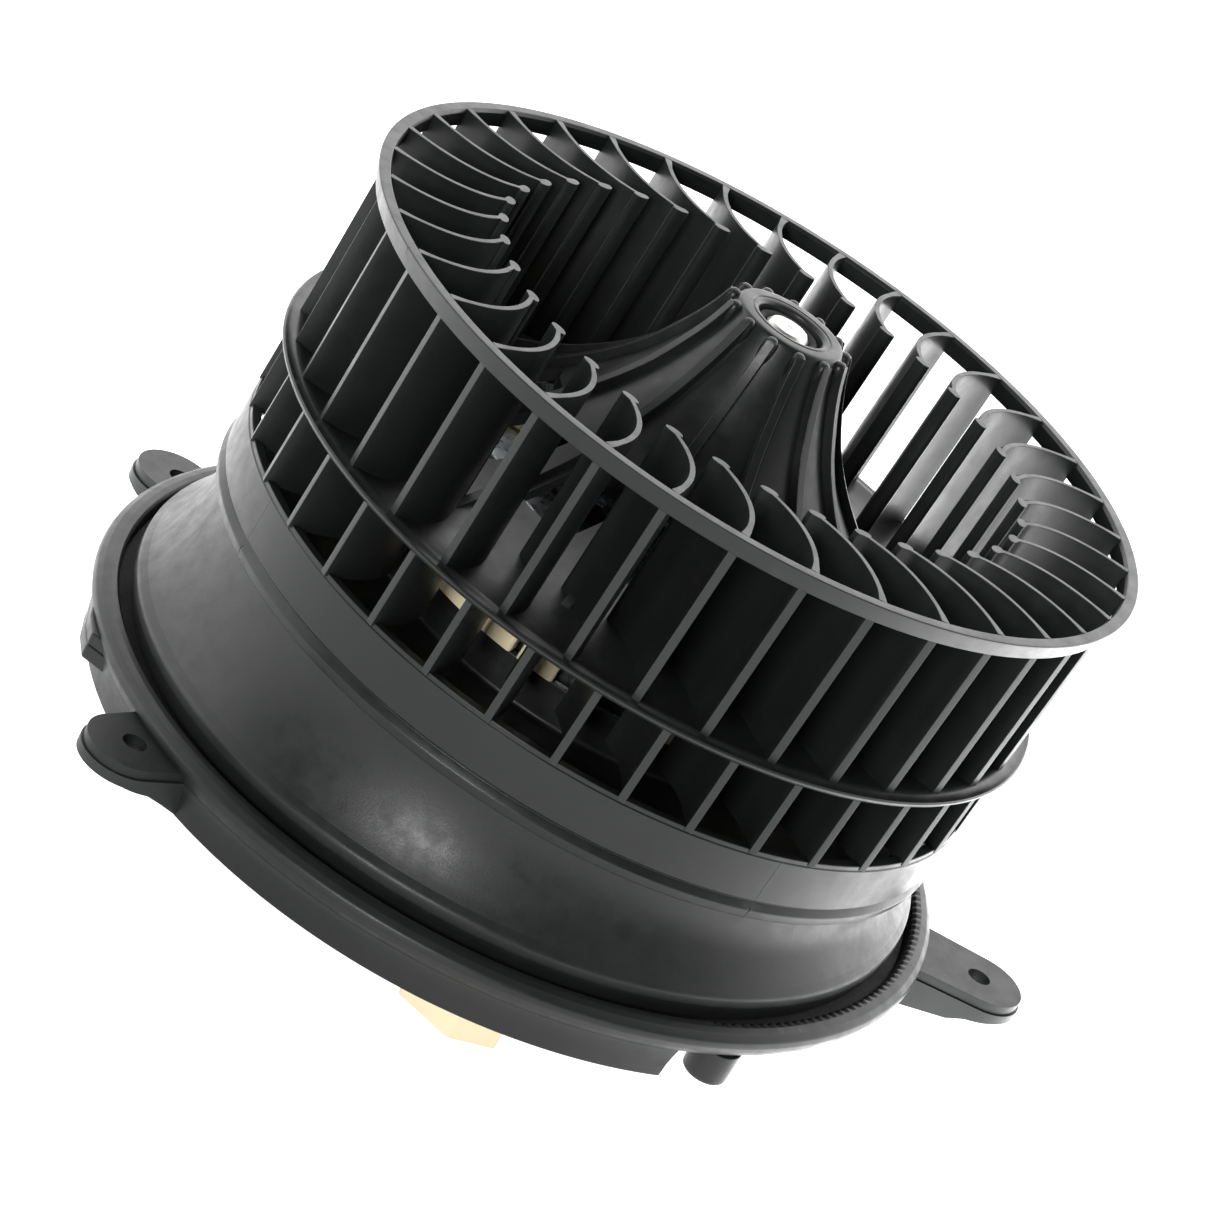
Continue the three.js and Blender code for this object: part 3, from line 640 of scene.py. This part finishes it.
def terminal_carrier():
    collar = shaped("lead_carrier_collar", draw_carrier)
    tabs = bevelled(shaped("lead_carrier_tabs", draw_carrier_tabs), 0.3)
    arms = bevelled(shaped("lead_carrier_arms", draw_carrier_arms), 0.3)
    place(collar, "housing", "cream_plastic", ["terminal_carrier"])
    place(tabs, "housing", "cream_plastic")
    place(arms, "housing", "cream_plastic")


# ---------------------------------------------------------------- drum


def lean(bm):
    """Lets the drum follow the shaft above its waist and the flange below its ridge."""
    straight_to_flange = FLANGE_IN_BLOWER @ Matrix.Translation((0, 0, -FLANGE_IN_BLOWER.translation.z))
    for vert in bm.verts:
        share = (DRUM_WAIST - vert.co.z) / (DRUM_WAIST - DRUM_RIDGE)
        share = max(0.0, min(1.0, share))
        share = share * share * (3 - 2 * share) if share < 1 else 1.0
        vert.co = vert.co.lerp(straight_to_flange @ vert.co, share)


def draw_drum(bm):
    bell = smooth(
        [(67.0, -58.4), (67.1, -62), (67.6, -66.2), (69.0, -70.4), (71.2, -74.2), (72.7, -76.3)], 5)
    outline = [
        (64.4, DRUM_TOP, 0.2), (66.4, DRUM_TOP, 0.6), *bell, (74.0, DRUM_RIDGE - 0.2, 1.4),
        (74.0, -79.4, 1.4), (73, -82.7), (71.1, -82.7), (70.9, -77.4), (67, -71.4), (65, DRUM_WAIST)]
    turned(bm, rounded(outline, 0.3))
    lean(bm)


def draw_motor_carrier(bm):
    under = DRUM_TOP - 1.8
    turned(bm, rounded([
        (41.6, -64), (41.6, -50.4), (43.2, -50.4), (43.6, DRUM_TOP, 1.0), (64.1, DRUM_TOP),
        (64.1, under), (43.6, under, 1.0), (43.2, -64)], 0.3))


def draw_screw_posts(bm):
    for azimuth in SCREW_AZIMUTHS:
        centre = polar(SCREW_CIRCLE, azimuth)
        low = (FLANGE_IN_BLOWER @ Vector((centre.x, centre.y, COVER_FLOOR + 2.8))).z
        high = DRUM_TOP - 1
        corners = ((POST_RADIUS, low), (POST_RADIUS, high), (POST_BORE, high), (POST_BORE, low))
        rings = [[bm.verts.new(polar(radius, 360 * k / TINY, height) + centre) for k in range(TINY)]
                 for radius, height in corners]
        for a, b in zip(rings, rings[1:] + rings[:1]):
            for k in range(TINY):
                bm.faces.new((a[k], a[k - 1], b[k - 1], b[k]))


def draw_seal(bm):
    foot, top = GROOVE_FLOOR + 0.3, GROOVE_FLOOR + 0.8
    turned(bm, rounded([(70, foot), (75.5, foot), (75.5, top), (70, top)], 0.15))


def drum():
    place(shaped("drum_bell", draw_drum), "housing", "housing_plastic", ["drum_shell"])
    deck = shaped("motor_mount_deck", draw_motor_carrier)
    place(deck, "housing", "housing_plastic", ["motor_collar", "motor_carrier"])
    place(bevelled(shaped("cover_screw_posts", draw_screw_posts), 0.2), "housing", "housing_plastic")
    place(shaped("seal_in_groove", draw_seal, FLANGE), "housing", "rubber", ["isolating_ring"])


# ---------------------------------------------------------------- flange and lower cover


def ear_outline(hole_radius, grown):
    """Straight sides that narrow to meet a round end just beyond the hole."""
    radius = EAR_HALF_WIDTH + grown
    middle = hole_radius + 1
    reach, half = middle - EAR_ROOT, radius + 0.9
    lean_in = math.degrees(math.atan2(half, reach) - math.asin(radius / math.hypot(reach, half)))
    span = 180 - 2 * lean_in
    end = [polar(radius, span * (i / 24 - 0.5)) for i in range(25)]
    return [(EAR_ROOT, -half), *[(middle + p.x, p.y) for p in end], (EAR_ROOT, half)]


def draw_flange_ring(bm):
    outline = rounded([
        (68, PARTING), (78.75, PARTING, 0.05), (79.5, -6.1, 1.0), (80.05, -4.8, 1.0), (79.85, -3.7, 1.0),
        (78.8, -2.85, 0.8), (77.5, -2.5, 0.6), (76.4, -2.5, 0.4), (GROOVE_RADIUS, -3.0, 0.4),
        (GROOVE_RADIUS, GROOVE_FLOOR), (68, GROOVE_FLOOR)], 0.3, 4)

    def serrations(point, azimuth):
        """Fine teeth on the groove's lip, over the part of the turn that has them."""
        turn = (azimuth + 180) % 360 - 180
        radius = point.to_2d().length
        on_lip = GROOVE_RADIUS - 0.1 < radius < GROOVE_RADIUS + 0.8 and point.z > -4.2
        if not (-48 < turn < 30 and on_lip):
            return point
        tooth = 0.5 + 0.5 * math.cos(math.radians(azimuth) * 240)
        return polar(radius + 0.3 * tooth, azimuth, point.z - 0.25 * tooth)

    turned(bm, outline, 1440, serrations)


def ears(bm, foot, top, grown=0.0):
    for azimuth, hole_radius in EARS:
        prism(bm, ear_outline(hole_radius, grown), foot, top, azimuth)


def draw_ear_holes(bm):
    for azimuth, hole_radius in EARS:
        prism(bm, disc(EAR_HOLE, 40, (hole_radius, 0)), -22, 0, azimuth)


def draw_groove(bm):
    turned(bm, [(60, GROOVE_FLOOR), (GROOVE_RADIUS, GROOVE_FLOOR), (GROOVE_RADIUS, 3), (60, 3)])


def wall_block(bm, foot, top):
    """A wedge on the outer wall, with sloping sides."""
    outer = [polar(79.4, -157), polar(80.7, -152), polar(81.2, -148)]
    inner = [polar(77.6, azimuth) for azimuth in (-145, -151, -157, -163)]
    outline = [tuple(p)[:2] for p in (*outer, *inner)]
    prism(bm, outline, foot, top)


def flange_ring():
    ring = shaped("flange_lip", draw_flange_ring, FLANGE)
    place(ring, "housing", "housing_plastic", ["flange_ring"])
    layer = shaped("ear_top_layer", lambda bm: ears(bm, PARTING, EAR_TOP), FLANGE)
    tools = [shaped("groove", draw_groove, FLANGE), shaped("holes", draw_ear_holes, FLANGE)]
    layer = bevelled(combined(layer, tools, "DIFFERENCE"), 0.4, 3, 50)
    place(layer, "housing", "housing_plastic", flat_above=8)
    top_block = shaped("wall_block_top", lambda bm: wall_block(bm, PARTING, -4.9), FLANGE)
    place(bevelled(top_block, 0.4, 3), "housing", "housing_plastic")


def draw_dish(bm):
    turned(bm, rounded([
        (44.6, COVER_FLOOR), (64, COVER_FLOOR, 2), (77.3, -8.1, 0.8), (78.6, COVER_TOP, 0.05),
        (75, COVER_TOP), (63.4, COVER_FLOOR + 2, 2), (46.6, COVER_FLOOR + 2), (46.6, -7), (44.6, -7)], 0.4))


def draw_ear_wedges(bm):
    """What the lower ear layers are cut down to, so that a gusset deepens towards the wall."""
    for azimuth, hole_radius in EARS:
        fin(bm, [(70, COVER_TOP), (100, COVER_TOP), (100, -8.8), (hole_radius + 5, -9.2), (hole_radius, -10.2),
                 (hole_radius - 3, -11.6), (77.5, -13.4), (76, -13.4), (70, -8.6)], 34, azimuth)


def draw_dish_inside(bm):
    turned(bm, [(0, COVER_FLOOR + 2), (63.4, COVER_FLOOR + 2), (75, COVER_TOP), (75, 0), (0, 0)])


def draw_skirt(bm):
    profile = [(75.2, SKIRT_FOOT), (77.3, SKIRT_FOOT), (77.55, SKIRT_FOOT + 0.3), (77.8, -11), (78.25, -9),
               (78.72, COVER_TOP), (75.2, COVER_TOP)]
    swept(bm, profile, -182, -52, 160)


def draw_peg(bm):
    centre = polar(74.6, -43.6)
    turned(bm, rounded([(0, -14.4, 0), (3.9, -14.4, 0.7), (4.1, -8.2), (0, -8.2, 0)], 0.2), SMALL)
    bmesh.ops.translate(bm, verts=bm.verts, vec=centre)


def lower_cover():
    dish = shaped("cover_dish", draw_dish, FLANGE)
    place(dish, "housing", "housing_plastic", ["lower_cover"])
    layer = shaped("ear_lower_layer", lambda bm: ears(bm, -20, COVER_TOP, 0.4), FLANGE)
    layer = combined(layer, [shaped("wedges", draw_ear_wedges, FLANGE)], "INTERSECT")
    tools = [shaped("inside", draw_dish_inside, FLANGE), shaped("holes", draw_ear_holes, FLANGE)]
    layer = bevelled(combined(layer, tools, "DIFFERENCE"), 0.45, 3, 50)
    place(layer, "housing", "housing_plastic", flat_above=8)
    place(shaped("cover_skirt", draw_skirt, FLANGE), "housing", "housing_plastic")
    place(shaped("locating_peg", draw_peg, FLANGE), "housing", "housing_plastic")
    foot_block = shaped("wall_block_foot", lambda bm: wall_block(bm, -10, PARTING), FLANGE)
    place(bevelled(foot_block, 0.4, 3), "housing", "housing_plastic")


# ---------------------------------------------------------------- connector

CONNECTOR_TOP = COVER_FLOOR - 0.3
CONNECTOR_FOOT = -19.6
BLADE_SLOTS = (9.9, 17.4)  # their places along the flange's x


def draw_connector(bm):
    outline = [(4.8, -57.2), (4.8, -69.6), (15, -74.0), (22.6, -69.8), (22.6, -57.2)]
    prism(bm, rounded(outline, 0.8), CONNECTOR_FOOT, CONNECTOR_TOP)


def draw_connector_hollow(bm):
    outline = [(6.6, -59), (6.6, -68.4), (15, -71.8), (20.8, -68.6), (20.8, -59)]
    prism(bm, rounded(outline, 0.5), CONNECTOR_FOOT - 1, CONNECTOR_TOP - 1.8)
    for x in BLADE_SLOTS:
        block(bm, (7, 1.6, 6), (x, -62, CONNECTOR_TOP))


def connector():
    shroud = shaped("plug_shroud", draw_connector, FLANGE)
    shroud = combined(shroud, [shaped("hollow", draw_connector_hollow, FLANGE)], "DIFFERENCE")
    place(bevelled(shroud, 0.3, 2), "housing", "cream_plastic", ["connector_housing"])


# ---------------------------------------------------------------- camera, light and floor

CAMERA_ELEVATION = 19.575
CAMERA_DISTANCE = 0.6939
CAMERA_LENS = 123.82
CAMERA_ROLL = -33.19  # the blower leans over in the picture
CAMERA_TILT = -4.01
TOWARDS_VIEWER = (0, -0.942, 0.335)
WHITE = (1.0, 1.0, 1.0)
MIDDLE = (0, 0, 0.06)  # of the blower


def camera():
    elevation = math.radians(CAMERA_ELEVATION)
    outward = Vector((0, -math.cos(elevation), math.sin(elevation)))
    forward, right = -outward, Vector((1, 0, 0))
    up = right.cross(forward)
    tilt = Quaternion(right, math.radians(CAMERA_TILT))
    forward, up = tilt @ forward, tilt @ up
    roll = Quaternion(forward, math.radians(CAMERA_ROLL))
    right, up = roll @ right, roll @ up
    data = bpy.data.cameras.new("camera")
    data.lens = CAMERA_LENS
    data.sensor_width = 36
    data.clip_start = 0.01
    data.clip_end = 50
    obj = bpy.data.objects.new("camera", data)
    facing = Matrix((right, up, -forward)).transposed().to_4x4()
    obj.matrix_world = Matrix.Translation(Vector((0, 0, RIM_PLANE)) + outward * CAMERA_DISTANCE) @ facing
    bpy.context.scene.collection.objects.link(obj)
    bpy.context.scene.camera = obj


def softbox(name, place_at, size, power):
    data = bpy.data.lights.new(name, "AREA")
    data.shape = "RECTANGLE"
    data.size, data.size_y = size
    data.energy = power
    obj = bpy.data.objects.new(name, data)
    obj.location = place_at
    obj.rotation_mode = "QUATERNION"
    obj.rotation_quaternion = (Vector(MIDDLE) - Vector(place_at)).to_track_quat("-Z", "Y")
    bpy.context.scene.collection.objects.link(obj)
    return obj


def light_pale_parts(lamp):
    """Keeps a lamp to the pale parts that sit deep in the black ones' shade."""
    pale = bpy.data.collections.new("pale_parts")
    for obj in list(bpy.data.objects):
        slots = [material.name for material in obj.data.materials] if obj.type == "MESH" else []
        if "cream_plastic" in slots or "zinc_steel" in slots:
            pale.objects.link(obj)
    lamp.light_linking.receiver_collection = pale


def tent(tree, way, right, *stops):
    """Light from a white tent that is dim towards the viewer and brighter to the right.

    The stops run from straight behind the blower, at 0, to the viewer, at 1.
    """
    ahead = node(tree, "ShaderNodeVectorMath", {0: way}, operation="NORMALIZE").outputs["Vector"]
    facing = node(tree, "ShaderNodeVectorMath", {0: ahead, 1: TOWARDS_VIEWER}, operation="DOT_PRODUCT")
    share = node(tree, "ShaderNodeMapRange", {"Value": facing.outputs["Value"], "From Min": -1.0}).outputs[0]
    sideways = node(tree, "ShaderNodeVectorMath", {0: ahead, 1: (1, 0, 0)}, operation="DOT_PRODUCT")
    gain = node(tree, "ShaderNodeMapRange", {
        "Value": sideways.outputs["Value"], "From Min": -0.2, "From Max": 0.8, "To Min": 1.0, "To Max": right})
    scaled = node(tree, "ShaderNodeVectorMath", {0: ramp(tree, share, *stops), "Scale": gain.outputs[0]},
                  operation="SCALE")
    return scaled.outputs["Vector"]


def pale_floor():
    bm = bmesh.new()
    bmesh.ops.create_circle(bm, cap_ends=True, segments=96, radius=6)
    floor = object_from("floor", bm, Matrix.Identity(4))
    material = finish("floor_paper", (0.93, 0.93, 0.93), (0.95, 0.95, 0.95), 0.9, grain=400.0,
                      grain_depth=0.01, specular=0.1)
    tree = material.node_tree
    shader = tree.nodes["Principled BSDF"]
    spot = node(tree, "ShaderNodeNewGeometry").outputs["Position"]
    below = node(tree, "ShaderNodeVectorMath", {0: spot, 1: MIDDLE}, operation="SUBTRACT").outputs["Vector"]
    seen = node(tree, "ShaderNodeLightPath").outputs["Is Camera Ray"]
    floor_light = tent(tree, below, 2.8, (0.0, 1.9), (0.45, 1.5), (0.6, 0.75), (0.74, 0.3), (1.0, 0.2))
    tree.links.new(mixed(tree, seen, floor_light, WHITE), shader.inputs["Emission Color"])
    shader.inputs["Emission Strength"].default_value = 1.0
    floor.data.materials.append(material)


def lamps():
    softbox("left_box", (-1.1, -0.1, 0.4), (0.8, 0.8), 4)
    softbox("rim_box", (0.75, 0.85, 0.25), (0.6, 0.6), 1.5)
    softbox("top_box", (-0.1, 0.3, 1.2), (0.6, 0.6), 2)
    light_pale_parts(softbox("front_box", (-0.2, -1.15, 0.42), (0.3, 0.3), 9))


def surroundings():
    world = bpy.data.worlds.new("studio")
    world.use_nodes = True
    tree = world.node_tree
    way = node(tree, "ShaderNodeTexCoord").outputs["Generated"]
    seen = node(tree, "ShaderNodeLightPath").outputs["Is Camera Ray"]
    sky_light = tent(
        tree, way, 1.5, (0.0, 2.6), (0.3, 1.9), (0.45, 1.4), (0.6, 0.5), (0.74, 0.12), (1.0, 0.06))
    tree.links.new(mixed(tree, seen, sky_light, WHITE), tree.nodes["Background"].inputs["Color"])
    scene = bpy.context.scene
    scene.world = world
    scene.view_settings.view_transform = "Standard"
    scene.view_settings.look = "None"


# ---------------------------------------------------------------- assembly


def dress_cad_nodes():
    """Every CAD node that stays in view gets its slot's finish."""
    for part in frame["record"]["subparts"]:
        mesh = frame["nodes"][part["node"]].data
        mesh.materials.clear()
        mesh.materials.append(FINISHES[part["material_slot"]])


dress_cad_nodes()
fan_wheel()
shaft_and_bush()
motor()
terminal_carrier()
drum()
flange_ring()
lower_cover()
connector()
camera()
pale_floor()
lamps()
surroundings()
